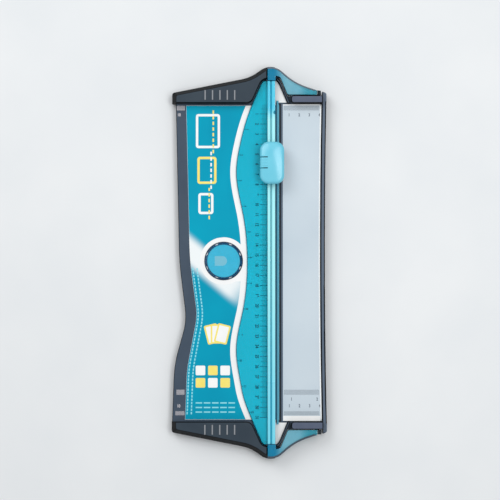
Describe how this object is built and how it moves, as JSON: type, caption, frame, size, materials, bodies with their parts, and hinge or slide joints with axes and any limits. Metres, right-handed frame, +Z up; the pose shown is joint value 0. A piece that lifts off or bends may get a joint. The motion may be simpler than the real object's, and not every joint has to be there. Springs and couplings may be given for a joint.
{
  "type": "paper trimmer",
  "caption": "Desk paper trimmer: a low tray with end fences, a hinged see-through ruler arm, a sliding push-to-cut blade on its rail and a spare-blade case.",
  "frame": {"origin": "middle of the footprint, on the table", "axes": "+X across the cut towards the hinge side, +Y along the cut towards the far end, +Z up"},
  "size_m": [0.153, 0.388, 0.032],
  "materials": {
    "dark_tray": "finely textured moulding",
    "clear_blue": "see-through tinted moulding",
    "cap_blue": "satin moulding",
    "scale_panel": "satin",
    "mat": "matt",
    "card": "printed, coated",
    "foot_rubber": "matt",
    "pin_steel": "zinc plated",
    "blade_steel": "ground",
    "runner_grey": "low-friction moulding",
    "case_cup": "pale moulding"
  },
  "bodies": {
    "base": {"base_shell": "dark_tray", "far_end_cover": "dark_tray", "near_end_cover": "dark_tray", "far_hinge_block": "dark_tray", "near_hinge_block": "dark_tray", "far_hinge_pin": "pin_steel", "near_hinge_pin": "pin_steel", "offcut_panel": "scale_panel", "cutting_mat": "mat", "platform_card": "card", "rubber_feet": "foot_rubber", "cover_screws": "pin_steel", "hinge_block_screws": "pin_steel", "spare_case_cup": "case_cup", "spare_blade_carrier": "runner_grey", "spare_blade": "blade_steel"},
    "ruler_arm": {"guide_rail": "clear_blue", "clear_ruler": "clear_blue", "far_end_arm": "clear_blue", "near_end_arm": "clear_blue", "arm_screws": "pin_steel"},
    "slider": {"slider_runner": "runner_grey", "far_glide_shoe": "runner_grey", "near_glide_shoe": "runner_grey", "far_return_spring": "pin_steel", "near_return_spring": "pin_steel"},
    "cap": {"push_cap": "cap_blue", "blade_carrier": "runner_grey", "cutting_blade": "blade_steel"},
    "case_lid": {"spare_case_lid": "clear_blue"}
  },
  "joints": [
    {"name": "arm_lift", "type": "hinge", "parent": "base", "child": "ruler_arm", "pos_m": [0.0665, 0, 0.015], "axis": [0, 1, 0], "range_deg": [0, 80]},
    {"name": "slider_travel", "type": "slide", "parent": "ruler_arm", "child": "slider", "axis": [0, 1, 0], "range_m": [-0.2492, 0.0548]},
    {"name": "cap_push", "type": "slide", "parent": "slider", "child": "cap", "axis": [0, 0, -1], "range_m": [0, 0.003], "stiffness_N_per_m": 400, "springref_m": -0.004, "deforming": ["far_return_spring", "near_return_spring"]},
    {"name": "lid_twist", "type": "hinge", "parent": "base", "child": "case_lid", "pos_m": [-0.0254, 0.0011, 0.0103], "axis": [0, 0, 1], "range_deg": [0, 60]}
  ]
}
